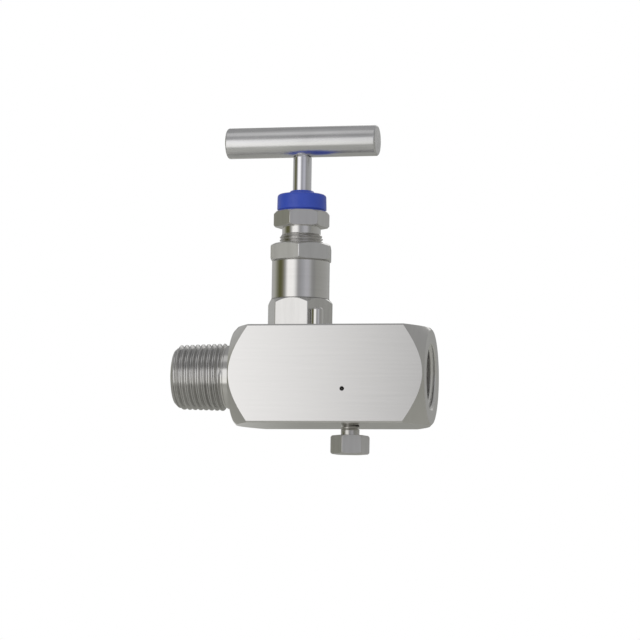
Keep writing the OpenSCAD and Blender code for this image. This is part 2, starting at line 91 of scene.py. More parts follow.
def machined_copy(node, name, edge, walls=()):
    """A merged copy of a CAD node, its triangles joined into whole faces and its outer edges
    rounded over to the given width. The walls of revolution listed as (centre, axis, outline)
    are left open for a thread to be set in."""
    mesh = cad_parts[node].data.copy()
    shape = bmesh.new()
    shape.from_mesh(mesh)
    bmesh.ops.remove_doubles(shape, verts=shape.verts, dist=0.002 * MM)
    for centre, axis, outline in walls:
        shape.verts.index_update()
        at, radius = cylindrical([v.co for v in shape.verts], centre, axis)[:2]
        wall = np.interp(at, outline[:, 0], outline[:, 1])
        margin = 0.005 * MM
        on_wall = ((np.abs(radius - wall) < facet_error) & (at > outline[0, 0] - margin)
                   & (at < outline[-1, 0] + margin))
        cut = [f for f in shape.faces if abs(f.normal.dot(axis)) < 0.97
               and all(on_wall[v.index] for v in f.verts)]
        bmesh.ops.delete(shape, geom=cut, context="FACES")
    bmesh.ops.dissolve_limit(
        shape, angle_limit=math.radians(0.2), verts=shape.verts, edges=shape.edges)
    weight = shape.edges.layers.float.new("bevel_weight_edge")
    for e in shape.edges:
        if len(e.link_faces) == 2 and e.is_convex and e.calc_face_angle() > math.radians(20):
            e[weight] = 1
    shape.to_mesh(mesh)
    shape.free()
    mesh.name = name
    mesh.materials.clear()
    piece = new_piece(name, mesh)
    rounding = piece.modifiers.new("broken edges", "BEVEL")
    rounding.width = edge
    rounding.segments = 2
    rounding.limit_method = "WEIGHT"
    rounding.use_clamp_overlap = False
    settle(piece)
    return piece


def thread_rows(angle, wall, zone, pitch, root, start, hole=False, flat=0.07 * MM):
    """Rows of a threaded wall: the place along the axis and the radius over the angle round it.
    A groove's middle stands at start + pitch * (turn + angle / full turn). There its floor has
    the root's radius and is flat over the width given. Then it rises at 60 degrees until it
    meets the wall, whose radius follows its outline. In a hole the rise is towards the axis.
    Each crest is eased a little, and rows outside the zone close up on its ends."""
    easing = 0.025 * MM
    least_crest = 0.07 * MM
    outwards = -1 if hole else 1
    turns = np.arange(math.floor((zone[0] - start) / pitch) - 2,
                      math.ceil((zone[1] - start) / pitch) + 3)
    middle = start + pitch * (turns[:, None] + angle / (2 * math.pi))
    slope = math.tan(math.radians(60))
    depth = np.maximum(outwards * (np.interp(middle, *wall.T) - root(middle)), 0)
    half = np.minimum(flat / 2 + depth / slope, (pitch - least_crest) / 2)
    flank = (half + flat / 2) / 2
    side = np.stack([-half - easing, -half, -flank, np.full_like(half, -flat / 2),
                     np.full_like(half, flat / 2), flank, half, half + easing,
                     np.full_like(half, pitch / 2)], 1)
    at = middle[:, None] + side
    ground = root(middle)[:, None] + outwards * slope * np.maximum(np.abs(side) - flat / 2, 0)
    radius = outwards * np.minimum(outwards * np.interp(at, *wall.T), outwards * ground)
    radius[:, [1, 6]] -= outwards * easing * (depth > easing)[:, None]
    at, radius = at.reshape(-1, len(angle)), radius.reshape(-1, len(angle))
    for end, beyond in ((zone[0], at < zone[0]), (zone[1], at > zone[1])):
        at[beyond] = end
        radius[beyond] = np.interp(end, *wall.T)
    return at, radius


def rings(angle, outline):
    """Rows that are plain rings: one at each [place along the axis, radius] of the outline."""
    return [np.asarray(outline, float)[:, i, None] + 0 * angle for i in (0, 1)]


def grid_round(centre, axis, angle, at, radius):
    """Points at a place along the axis and a radius out in the direction of each angle, and
    the four-sided faces between neighbouring rows and columns."""
    across, other = cross_axes(axis)
    outward = np.cos(angle)[:, None] * across + np.sin(angle)[:, None] * other
    points = centre + at[..., None] * axis + radius[..., None] * outward
    width = len(angle)
    row = np.arange(len(at) - 1)[:, None] * width + np.arange(width - 1)
    quads = np.stack([row, row + 1, row + width + 1, row + width], -1)
    return points.reshape(-1, 3), quads.reshape(-1, 4)


def ring_joint(first, first_angle, second, second_angle):
    """Triangles between two closed rings of points. Going round by angle, the point met last
    on either ring and the next point on whichever comes first make one triangle."""
    first, second = first[np.argsort(first_angle)], second[np.argsort(second_angle)]
    both = np.concatenate([first, second])
    order = np.argsort(np.concatenate([np.sort(first_angle), np.sort(second_angle)]))
    on_first = order < len(first)
    latest_first = first[np.cumsum(on_first) - 1]
    latest_second = second[np.cumsum(~on_first) - 1]
    return np.stack([latest_first, latest_second, both[np.roll(order, -1)]], 1)


def closed_mesh(name, points, faces, materials):
    """A mesh of the faces with their seams and poles merged and all faces turned outwards."""
    mesh = bpy.data.meshes.new(name)
    mesh.from_pydata(np.asarray(points).tolist(), [], faces)
    mesh.polygons.foreach_set("material_index", materials)
    shape = bmesh.new()
    shape.from_mesh(mesh)
    bmesh.ops.remove_doubles(shape, verts=shape.verts, dist=0.001 * MM)
    bmesh.ops.dissolve_degenerate(shape, edges=shape.edges, dist=0.0005 * MM)
    bmesh.ops.recalc_face_normals(shape, faces=shape.faces)
    shape.to_mesh(mesh)
    shape.free()
    return mesh


def set_in_thread(piece, centre, axis, wall, outline, zone, pitch, root, start, plain, cut,
                  **form):
    """Fills an open wall of the piece with its thread, the outline's plain rings before and
    after it, and triangles that join the rims of both. Rings have the material numbered plain
    and threads the one numbered cut. The form is what else thread_rows takes."""
    columns_round = 145
    mesh = piece.data
    shape = bmesh.new()
    shape.from_mesh(mesh)
    old = np.array([v.co for v in shape.verts])
    rim = np.array([v.index for v in shape.verts if v.is_boundary])
    shape.free()
    faces = [list(f.vertices) for f in mesh.polygons]
    materials = [f.material_index for f in mesh.polygons]
    angle = np.linspace(0, 2 * math.pi, columns_round)
    before = rings(angle, outline[outline[:, 0] <= zone[0]])
    thread = thread_rows(angle, outline, zone, pitch, root, start, **form)
    after = rings(angle, outline[outline[:, 0] >= zone[1]])
    at, radius = (np.concatenate(rows) for rows in zip(before, thread, after))
    points, quads = grid_round(centre, axis, angle, at, radius)
    faces += (quads + len(old)).tolist()
    row = np.repeat(np.arange(len(at) - 1), len(angle) - 1)
    in_thread = (row >= len(before[0])) & (row < len(before[0]) + len(thread[0]) - 1)
    materials += np.where(in_thread, cut, plain).tolist()
    rim_at, rim_radius, rim_angle = cylindrical(old[rim], centre, axis)
    columns = np.arange(len(angle) - 1)
    for (end_at, end_radius), ring in ((wall[0], columns),
                                       (wall[-1], columns + (len(at) - 1) * len(angle))):
        on_end = ((np.abs(rim_at - end_at) < 0.01 * MM)
                  & (np.abs(rim_radius - end_radius) < facet_error))
        ring_angle = cylindrical(points[ring], centre, axis)[2]
        faces += ring_joint(rim[on_end], rim_angle[on_end], ring + len(old),
                            ring_angle).tolist()
    materials += [plain] * (len(faces) - len(materials))
    piece.data = closed_mesh(piece.name, np.concatenate([old, points]), faces, materials)


def finish_shading(piece, sharp):
    """Shades curved faces smooth and keeps flat ones flat up to their rounded edges."""
    mesh = piece.data
    mesh.polygons.foreach_set("use_smooth", np.ones(len(mesh.polygons), bool))
    mesh.set_sharp_from_angle(angle=math.radians(sharp))
    weigh = piece.modifiers.new("flat faces", "WEIGHTED_NORMAL")
    weigh.keep_sharp = True
    settle(piece)


def faded(from_place, to_place, rise):
    """A groove's lift where the tool leaves the work: none before the first place, then a
    smooth rise to the full lift at the second."""
    def lift(at):
        share = np.clip((at - from_place) / (to_place - from_place), 0, 1)
        return rise * share * share * (3 - 2 * share)
    return lift


def wire_up(name, inputs, outputs):
    """A new shader node group with the named inputs and outputs."""
    group = bpy.data.node_groups.new(name, "ShaderNodeTree")
    for title, kind, value in inputs:
        socket = group.interface.new_socket(title, in_out="INPUT", socket_type=kind)
        socket.default_value = value
    for title, kind in outputs:
        group.interface.new_socket(title, in_out="OUTPUT", socket_type=kind)
    return group, group.nodes.new("NodeGroupInput"), group.nodes.new("NodeGroupOutput")


def put(tree, kind, **settings):
    """A new node with its properties set, and its sockets by name or number: a value is typed
    in, and a socket is linked."""
    node = tree.nodes.new(kind)
    sockets = settings.pop("sockets", {})
    for title, value in settings.items():
        setattr(node, title, value)
    for title, value in sockets.items():
        if isinstance(value, bpy.types.NodeSocket):
            tree.links.new(value, node.inputs[title])
        else:
            node.inputs[title].default_value = value
    return node


# Tool marks of a lathe run round the work: they change along the axis and outwards from it,
# and hardly at all round it.
lathe_marks, given, made = wire_up(
    "lathe marks",
    [("Place", "NodeSocketVector", (0, 0, 0)), ("Centre", "NodeSocketVector", (0, 0, 0)),
     ("Axis", "NodeSocketVector", (0, 0, 1))],
    [("Marks", "NodeSocketVector")])
from_centre = put(lathe_marks, "ShaderNodeVectorMath", operation="SUBTRACT", sockets={
    0: given.outputs["Place"], 1: given.outputs["Centre"]})
height = put(lathe_marks, "ShaderNodeVectorMath", operation="DOT_PRODUCT", sockets={
    0: from_centre.outputs[0], 1: given.outputs["Axis"]})
up_axis = put(lathe_marks, "ShaderNodeVectorMath", operation="SCALE", sockets={
    0: given.outputs["Axis"], "Scale": height.outputs["Value"]})
outward = put(lathe_marks, "ShaderNodeVectorMath", operation="SUBTRACT", sockets={
    0: from_centre.outputs[0], 1: up_axis.outputs[0]})
distance = put(lathe_marks, "ShaderNodeVectorMath", operation="LENGTH", sockets={
    0: outward.outputs[0]})
drift = put(lathe_marks, "ShaderNodeVectorMath", operation="DOT_PRODUCT", sockets={
    0: from_centre.outputs[0], 1: (0.02, 0.025, 0.03)})
turned_place = put(lathe_marks, "ShaderNodeCombineXYZ", sockets={
    0: height.outputs["Value"], 1: distance.outputs["Value"], 2: drift.outputs["Value"]})
lathe_marks.links.new(turned_place.outputs[0], made.inputs["Marks"])

# Bare stainless steel: fine marks across the given direction, broader streaks of the same
# run, and faint clouds where hands and cutting oil have been.
bare_steel, given, made = wire_up(
    "bare steel",
    [("Place", "NodeSocketVector", (0, 0, 0)), ("Marks", "NodeSocketVector", (0, 0, 0)),
     ("Tint", "NodeSocketColor", (0.7, 0.7, 0.7, 1)), ("Marks per metre", "NodeSocketFloat", 5000),
     ("Mark depth", "NodeSocketFloat", 0.000002), ("Roughness", "NodeSocketFloat", 0.25),
     ("Unevenness", "NodeSocketFloat", 0.06), ("Clouding", "NodeSocketFloat", 0.1)],
    [("Color", "NodeSocketColor"), ("Roughness", "NodeSocketFloat"),
     ("Normal", "NodeSocketVector")])
fine = put(bare_steel, "ShaderNodeTexNoise", sockets={
    "Vector": given.outputs["Marks"], "Scale": given.outputs["Marks per metre"],
    "Detail": 2.0, "Roughness": 0.6})
streak_scale = put(bare_steel, "ShaderNodeMath", operation="MULTIPLY", sockets={
    0: given.outputs["Marks per metre"], 1: 0.22})
streaks = put(bare_steel, "ShaderNodeTexNoise", sockets={
    "Vector": given.outputs["Marks"], "Scale": streak_scale.outputs[0], "Detail": 3.0})
clouds = put(bare_steel, "ShaderNodeTexNoise", sockets={
    "Vector": given.outputs["Place"], "Scale": 130.0, "Detail": 3.0, "Distortion": 0.4})
uneven = put(bare_steel, "ShaderNodeMath", operation="MULTIPLY_ADD", sockets={
    0: clouds.outputs[0], 1: 0.25, 2: streaks.outputs[0]})
centred = put(bare_steel, "ShaderNodeMath", operation="SUBTRACT", sockets={
    0: uneven.outputs[0], 1: 0.625})
rough = put(bare_steel, "ShaderNodeMath", operation="MULTIPLY_ADD", sockets={
    0: centred.outputs[0], 1: given.outputs["Unevenness"], 2: given.outputs["Roughness"]})
shade = put(bare_steel, "ShaderNodeMath", operation="MULTIPLY_ADD", sockets={
    0: centred.outputs[0], 1: given.outputs["Clouding"], 2: 1.0})
tinted = put(bare_steel, "ShaderNodeVectorMath", operation="SCALE", sockets={
    0: given.outputs["Tint"], "Scale": shade.outputs[0]})
relief = put(bare_steel, "ShaderNodeBump", sockets={
    "Strength": 1.0, "Distance": given.outputs["Mark depth"], "Height": fine.outputs[0]})
bare_steel.links.new(tinted.outputs[0], made.inputs["Color"])
bare_steel.links.new(rough.outputs[0], made.inputs["Roughness"])
bare_steel.links.new(relief.outputs[0], made.inputs["Normal"])


def steel_finish(name, tint, roughness, marks_per_metre, mark_depth, unevenness=0.06,
                 clouding=0.1, centre=None, axis=None, stretch=None):
    """A stainless steel material. With a centre and an axis its marks run round them; with a
    stretch they run along the direction that the stretch scales down."""
    material = bpy.data.materials.new(name)
    material.use_nodes = True
    tree = material.node_tree
    shader = tree.nodes["Principled BSDF"]
    place = put(tree, "ShaderNodeTexCoord").outputs["Object"]
    if stretch is None:
        marks = put(tree, "ShaderNodeGroup", node_tree=lathe_marks, sockets={
            "Place": place, "Centre": tuple(centre), "Axis": tuple(axis)})
    else:
        marks = put(tree, "ShaderNodeMapping", sockets={"Vector": place, "Scale": stretch})
    steel = put(tree, "ShaderNodeGroup", node_tree=bare_steel, sockets={
        "Place": place, "Marks": marks.outputs[0], "Tint": (*tint, 1),
        "Marks per metre": marks_per_metre, "Mark depth": mark_depth, "Roughness": roughness,
        "Unevenness": unevenness, "Clouding": clouding})
    shader.inputs["Metallic"].default_value = 1.0
    tree.links.new(steel.outputs["Color"], shader.inputs["Base Color"])
    tree.links.new(steel.outputs["Roughness"], shader.inputs["Roughness"])
    tree.links.new(steel.outputs["Normal"], shader.inputs["Normal"])
    return material


def stand_for(piece, body, node, slot, *materials):
    """Gives the piece its materials and makes it stand for its CAD node on its body."""
    for material in materials:
        piece.data.materials.append(material)
    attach(piece, body)
    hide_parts(node)


steel_tint = (0.735, 0.728, 0.715)
body_low, body_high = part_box("valve_body")
along_flow = np.array([1.0, 0.0, 0.0])
on_flow = np.zeros(3)
npt_pitch = 25.4 / 14 * MM
npt_depth = 1.02 * MM
taper = 1 / 32
inlet_radius = 10.67 * MM
neck_radius = 10.3 * MM
relief_radius = 9.95 * MM
neck_face = body_low.x + 20.1 * MM
inlet_wall = np.array([
    (body_low.x, inlet_radius - 1.8 * MM), (body_low.x + 1.6 * MM, inlet_radius - 0.2 * MM),
    (0, inlet_radius), (9.2 * MM, inlet_radius), (9.57 * MM, neck_radius),
    (neck_face - 0.85 * MM, neck_radius), (neck_face, neck_radius - 0.85 * MM)])
# the finished spigot keeps its taper up to a relief groove beside the neck
inlet_outline = np.array([
    *inlet_wall[:2], (8.1 * MM, inlet_radius + 0.25 * MM), (8.5 * MM, relief_radius),
    (9.0 * MM, relief_radius), (9.3 * MM, neck_radius), *inlet_wall[-2:]])
# the outlet's places are counted against the flow, so that they grow from its mouth inwards
mouth = -body_high.x
mouth_radius = 10.8 * MM
outlet_bore = 9.125 * MM
outlet_root = 10.6 * MM
outlet_outline = np.array([
    (mouth, mouth_radius), (mouth + mouth_radius - outlet_bore, outlet_bore),
    (mouth + 18.5 * MM, outlet_bore)])
outlet_lift = faded(mouth + 14.5 * MM, mouth + 17.0 * MM, 1.6 * MM)

valve_block = machined_copy("valve_body", "valve_block", 0.06 * MM, [
    (on_flow, along_flow, inlet_wall), (on_flow, -along_flow, outlet_outline)])
# faces that look along the flow at all are turned, and the others are the bar's ground flats
facing = np.zeros(len(valve_block.data.polygons) * 3)
valve_block.data.polygons.foreach_get("normal", facing)
valve_block.data.polygons.foreach_set(
    "material_index", (np.abs(facing[::3]) > 0.3).astype(int))
set_in_thread(
    valve_block, on_flow, along_flow, inlet_wall, inlet_outline,
    zone=(body_low.x + 0.02 * MM, 8.6 * MM), pitch=npt_pitch,
    root=lambda at: inlet_radius - npt_depth + taper * at, start=body_low.x + 0.3 * MM,
    plain=1, cut=2, flat=0.3 * MM)
set_in_thread(
    valve_block, on_flow, -along_flow, outlet_outline, outlet_outline,
    zone=(mouth + 0.02 * MM, mouth + 17.6 * MM), pitch=npt_pitch,
    root=lambda at: outlet_root - taper * (at - mouth) - outlet_lift(at),
    start=mouth + 0.85 * MM, plain=1, cut=3, hole=True)
finish_shading(valve_block, 32)
stand_for(
    valve_block, "valve", "valve_body", "block_steel",
    steel_finish("ground bar", (0.81, 0.803, 0.793), 0.165, 6000, 3e-7, clouding=0.06,
                 stretch=(0.03, 1, 1)),
    steel_finish("turned ends", steel_tint, 0.16, 4500, 6e-7, centre=on_flow, axis=along_flow),
    # the thread cut on the inlet spigot is tinted darker than the turned ends: painted shade that
    # stands in for the shade in its grooves
    steel_finish("cut pipe thread, painted shade", (0.60, 0.595, 0.59), 0.25, 5000, 1e-6, unevenness=0.3,
                 clouding=0.7, centre=on_flow, axis=along_flow),
    # the thread tapped inside the outlet is tinted lighter than bare steel: painted light that
    # brightens the bore, where shade falls
    steel_finish("tapped pipe thread, painted light", (0.88, 0.875, 0.865), 0.32, 5000, 1e-6, unevenness=0.3,
                 clouding=0.3, centre=on_flow, axis=along_flow))

# --- Bonnet seal ring ------------------------------------------------------------------------
# A flat ring of white PTFE, punched from sheet, under the bonnet's foot. It seals the bonnet
# in the block and carries no load but its own squeeze.


def moulded(name, colour, other_colour, roughness, clouds_per_metre, cloud_detail,
            grains_per_metre):
    """A moulded plastic: two near colours mixed in soft clouds, and a fine grain left by the
    mould as a relief."""
    grain_depth = 4e-6
    material = bpy.data.materials.new(name)
    material.use_nodes = True
    tree = material.node_tree
    shader = tree.nodes["Principled BSDF"]
    place = put(tree, "ShaderNodeTexCoord").outputs["Object"]
    clouds = put(tree, "ShaderNodeTexNoise", sockets={
        "Vector": place, "Scale": clouds_per_metre, "Detail": cloud_detail})
    colours = put(tree, "ShaderNodeMix", data_type="RGBA", sockets={
        "Factor": clouds.outputs[0], "A": (*colour, 1), "B": (*other_colour, 1)})
    grain = put(tree, "ShaderNodeTexNoise", sockets={
        "Vector": place, "Scale": grains_per_metre, "Detail": 2.0})
    relief = put(tree, "ShaderNodeBump", sockets={
        "Strength": 1.0, "Distance": grain_depth, "Height": grain.outputs[0]})
    tree.links.new(colours.outputs["Result"], shader.inputs["Base Color"])
    tree.links.new(relief.outputs[0], shader.inputs["Normal"])
    shader.inputs["Roughness"].default_value = roughness
    return material


def finish_node(node, material):
    """Gives a CAD node that is carried over its finished material."""
    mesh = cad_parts[node].data
    if not mesh.materials:
        mesh.materials.append(material)
    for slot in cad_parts[node].material_slots:
        slot.material = material


white_ptfe = moulded(
    "white PTFE", (0.88, 0.88, 0.86), (0.80, 0.80, 0.77), roughness=0.38, clouds_per_metre=500,
    cloud_detail=3, grains_per_metre=4000)
finish_node("body_seal_ring", white_ptfe)

# --- Bonnet ----------------------------------------------------------------------------------
# One piece of hexagonal bar: its barrel is turned down above the hexagon, its foot is screwed
# into the block, and it is bored for the spindle, the packing and the gland bolt.
bonnet_low, bonnet_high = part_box("bonnet")
spindle_low, spindle_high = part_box("spindle")
upright = np.array([0.0, 0.0, 1.0])
on_spindle = np.array([(spindle_low.x + spindle_high.x) / 2, 0, 0])
block_top = body_high.z


def round_from_corners(turn):
    """Angles once round a hexagon turned by the given degrees: close together at its corners,
    wider apart along its flats."""
    from_corner = np.array([0, 0.7, 1.5, 3.5, 7, 11, 15, 19, 23, 27])
    one_side = np.concatenate([-from_corner[:0:-1], from_corner, [30]])
    angle = turn + (60 * np.arange(6)[:, None] + one_side).ravel()
    return np.radians(np.concatenate([angle, angle[:1] + 360]))


def hexagon_side(angle, flats, turn):
    """Distance from the axis to the side of hexagonal bar in each direction: half its width
    over the cosine of the angle from the flat's middle, and near a corner the arc that rounds
    the corner, 0.3 mm in radius."""
    corner_round = 0.3 * MM
    off_corner = (angle - math.radians(turn) + math.pi / 6) % (math.pi / 3) - math.pi / 6
    side = flats / 2 / np.cos(math.pi / 6 - np.abs(off_corner))
    centre = (flats / 2 - corner_round) / math.cos(math.pi / 6)
    reach = math.atan2(corner_round / 2, centre + corner_round * math.cos(math.pi / 6))
    chord = np.maximum(corner_round ** 2 - (centre * np.sin(off_corner)) ** 2, 0)
    arc = centre * np.cos(off_corner) + np.sqrt(chord)
    return np.where(np.abs(off_corner) < reach, arc, side)


def hexagon_rows(angle, flats, turn, foot, top, foot_bevel, top_bevel, slope, edge=0.1 * MM):
    """Rows up the outside of a hexagon whose corners are turned off at both ends. The turned
    end is flat out to the bevel's beginning and then falls away by the slope's tangent for each
    unit of radius; the side of the bar cuts it off. Three rows round over each edge."""
    side = hexagon_side(angle, flats, turn)
    corner = flats / 2 / math.cos(math.pi / 6)
    fall = math.tan(math.radians(slope))
    step = np.arange(3)[:, None]
    up_side = edge * np.array([[0.25], [1]])
    off_side = edge * np.array([[0.25], [0]])
    ends = []
    for end, inwards, begins in ((foot, 1, corner - foot_bevel), (top, -1, corner - top_bevel)):
        out = np.minimum(begins + (step - 1) * edge, side - (4 - step) * edge)
        out = np.concatenate([out, [side - edge, side]])
        at = end + inwards * fall * np.maximum(out - begins, 0)
        ends.append(np.stack([np.concatenate([at[:4], at[4] + inwards * up_side]),
                              np.concatenate([out[:4], side - off_side])]))
    return np.concatenate([ends[0], ends[1][:, ::-1]], 1)


def eased(outline, edge=0.1 * MM):
    """The outline of [place along the axis, radius] with three points for each corner: one at
    the edge's width before it, one after it, and between them their mean with the corner."""
    outline = np.asarray(outline, float)
    corner = outline[1:-1]
    sides = []
    for neighbour in (outline[:-2], outline[2:]):
        step = neighbour - corner
        length = np.linalg.norm(step, axis=1, keepdims=True)
        sides.append(corner + step * np.minimum(edge / length, 0.4))
    middle = (sides[0] + 2 * corner + sides[1]) / 4
    bends = np.stack([sides[0], middle, sides[1]], 1).reshape(-1, 2)
    return np.concatenate([outline[:1], bends, outline[-1:]])


def turned_piece(name, centre, axis, angle, *parts):
    """A turned piece as one grid: each part gives rows, every row is carried round the axis,
    and each part's faces take its material number. The rows begin and end at the same ring, or
    at a pole on the axis."""
    at = np.concatenate([rows[0] for rows, _ in parts])
    radius = np.concatenate([rows[1] for rows, _ in parts])
    finish = np.concatenate([np.full(len(rows[0]), number) for rows, number in parts])
    points, quads = grid_round(centre, axis, angle, at, radius)
    materials = np.repeat(np.maximum(finish[:-1], finish[1:]), len(angle) - 1)
    piece = new_piece(name, closed_mesh(name, points, quads.tolist(), materials))
    finish_shading(piece, 62)
    return piece


bonnet_flats = 19 * MM
bonnet_turn = -6.3
hex_top = block_top + 9.4 * MM
barrel_foot = bonnet_low.z + 16.15 * MM
barrel_radius = 9.35 * MM
foot_radius = 9 * MM
stem_hole = 3.05 * MM
stem_thread_bore = 4.05 * MM
packing_bore = 5 * MM
packing_floor = 26.65 * MM
gland_thread_bore = 7.05 * MM
gland_thread_floor = 32.85 * MM
bore_seam = 30 * MM
bonnet_round = round_from_corners(bonnet_turn)
bonnet_shell = turned_piece(
    "bonnet_shell", on_spindle, upright, bonnet_round,
    (rings(bonnet_round, eased([
        (bore_seam, packing_bore), (packing_floor, packing_bore), (packing_floor, stem_hole),
        (packing_floor - 0.6 * MM, stem_hole), (packing_floor - 1.6 * MM, stem_thread_bore),
        (bonnet_low.z + 5.95 * MM, stem_thread_bore), (bonnet_low.z + 5 * MM, packing_bore),
        (bonnet_low.z, packing_bore), (bonnet_low.z, foot_radius - 0.8 * MM),
        (bonnet_low.z + 0.8 * MM, foot_radius), (block_top, foot_radius)])), 0),
    (hexagon_rows(bonnet_round, bonnet_flats, bonnet_turn, foot=block_top, top=hex_top,
                  foot_bevel=0.15 * MM, top_bevel=1.62 * MM, slope=45), 1),
    (rings(bonnet_round, eased([
        (barrel_foot, bonnet_flats / 2), (barrel_foot, barrel_radius),
        (bonnet_high.z - 0.4 * MM, barrel_radius),
        (bonnet_high.z - 0.28 * MM, barrel_radius - 0.4 * MM),
        (bonnet_high.z, barrel_radius - 0.45 * MM), (bonnet_high.z, gland_thread_bore),
        (gland_thread_floor, gland_thread_bore), (gland_thread_floor, packing_bore),
        (bore_seam, packing_bore)])), 0))
turned_barrel = steel_finish(
    "turned barrel", steel_tint, 0.08, 5200, 3e-7, unevenness=0.03, centre=on_spindle,
    axis=upright)
stand_for(bonnet_shell, "valve", "bonnet", "turned_steel", turned_barrel,
          steel_finish("drawn hexagon flats", (0.70, 0.695, 0.685), 0.2, 2600, 1e-6,
                       unevenness=0.1, clouding=0.2, stretch=(1, 1, 0.1)))

# --- Lock pin ----------------------------------------------------------------------------------
# A hardened pin driven into the block beside one flat of the bonnet, so that the bonnet can't
# work loose in service.
pin_low, pin_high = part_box("bonnet_lock_pin")
on_pin = np.array([(pin_low.x + pin_high.x) / 2, (pin_low.y + pin_high.y) / 2, 0])
pin_radius = 2 * MM
pin_bevel = 0.5 * MM
pin_round = np.linspace(0, 2 * math.pi, 49)
lock_pin = turned_piece(
    "lock_pin", on_pin, upright, pin_round,
    (rings(pin_round, eased([
        (pin_low.z, 0), (pin_low.z, pin_radius), (pin_high.z - pin_bevel, pin_radius),
        (pin_high.z, pin_radius - pin_bevel), (pin_high.z, 0)])), 0))
stand_for(lock_pin, "valve", "bonnet_lock_pin", "stem_steel",
          steel_finish("ground pin", steel_tint, 0.08, 5200, 3e-7, centre=on_pin, axis=upright))

# --- Spindle -----------------------------------------------------------------------------------
# Turned bar, ground and burnished where it runs through the packing. Its thread lifts it, its
# foot is rolled in round the tip's button, and its end is filed flat for the grub screw.
handle_low, handle_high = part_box("handle_bar")
handle_turn = math.radians(-2.5)
towards_grub = np.array([-math.sin(handle_turn), math.cos(handle_turn), 0])
stem_radius = 3 * MM
stem_thread_radius = 4 * MM
stem_root = 3.24 * MM
stem_pitch = 1.25 * MM
stem_end_radius = 2.5 * MM
stem_shoulder = handle_low.z - 0.1 * MM
filed_from = 73.7 * MM
filed_flat = 2.2 * MM
thread_foot = 14 * MM
stem_wall = np.array([
    (thread_foot, stem_thread_radius), (21.2 * MM, stem_thread_radius), (22.2 * MM, stem_radius)])
stem_round = np.linspace(0, 2 * math.pi, 73)
stem = turned_piece(
    "stem", on_spindle, upright, stem_round,
    # the pocket of the ball and the tip's button, the lip rolled in below it, and the foot
    (rings(stem_round, eased([
        (15.4 * MM, 0), (15.4 * MM, 1.3 * MM), (12.9 * MM, 1.3 * MM), (12.9 * MM, 2.15 * MM),
        (11.6 * MM, 2.15 * MM), (11.6 * MM, 1.55 * MM), (spindle_low.z, 1.55 * MM),
        (spindle_low.z, 3.2 * MM), (13.2 * MM, 3.2 * MM), stem_wall[0]])), 0),
    (thread_rows(stem_round, stem_wall, zone=(thread_foot + 0.05 * MM, 21.9 * MM),
                 pitch=stem_pitch, root=lambda at: np.full_like(at, stem_root),
                 start=thread_foot + 0.3 * MM), 1),
    (rings(stem_round, eased([
        stem_wall[-1], (stem_shoulder, stem_radius), (stem_shoulder, stem_end_radius),
        (filed_from, stem_end_radius), (filed_from + 0.05 * MM, stem_end_radius),
        (spindle_high.z, stem_end_radius), (spindle_high.z, 0)])), 0))
places = np.empty(len(stem.data.vertices) * 3)
stem.data.vertices.foreach_get("co", places)
places = places.reshape(-1, 3)
proud = (np.maximum((places - on_spindle) @ towards_grub - filed_flat, 0)
         * (places[:, 2] > filed_from))
stem.data.vertices.foreach_set("co", (places - proud[:, None] * towards_grub).ravel())
stand_for(stem, "spindle", "spindle", "stem_steel",
          steel_finish("burnished stem", (0.82, 0.82, 0.86), 0.06, 6000, 2e-7,
                       unevenness=0.02, centre=on_spindle, axis=upright),
          steel_finish("rolled stem thread", (0.7, 0.69, 0.67), 0.2, 5000, 1e-6,
                       centre=on_spindle, axis=upright))

# --- Needle tip and thrust ball ------------------------------------------------------------
# A hardened cone that shuts on the seat's rim. It hangs loose in the spindle's foot and turns
# on a ball, so that it doesn't scrub the seat as it shuts.
finish_node("needle_tip", steel_finish(
    "hardened needle tip", (0.66, 0.65, 0.64), 0.1, 5200, 4e-7, centre=on_spindle,
    axis=upright))
lapped_ball = steel_finish(
    "lapped ball", (0.8, 0.8, 0.8), 0.04, 3000, 1e-7, unevenness=0.02, clouding=0.04,
    stretch=(1, 1, 1))
finish_node("thrust_ball", lapped_ball)

# --- Packing and follower --------------------------------------------------------------------
# Two adapters and three rings of PTFE, moulded with wedges that spread them against the stem
# when they are pressed. A steel follower between them and the gland bolt keeps them from
# turning with it.
packing_ptfe = moulded(
    "packing PTFE", (0.86, 0.86, 0.83), (0.76, 0.76, 0.72), roughness=0.38,
    clouds_per_metre=500, cloud_detail=3, grains_per_metre=4000)
for packing in ("packing_lower_adapter", "packing_ring_lower", "packing_ring_middle",
                "packing_ring_upper", "packing_upper_adapter"):
    finish_node(packing, packing_ptfe)
finish_node("packing_follower", steel_finish(
    "turned follower", steel_tint, 0.18, 4500, 8e-7, centre=on_spindle, axis=upright))

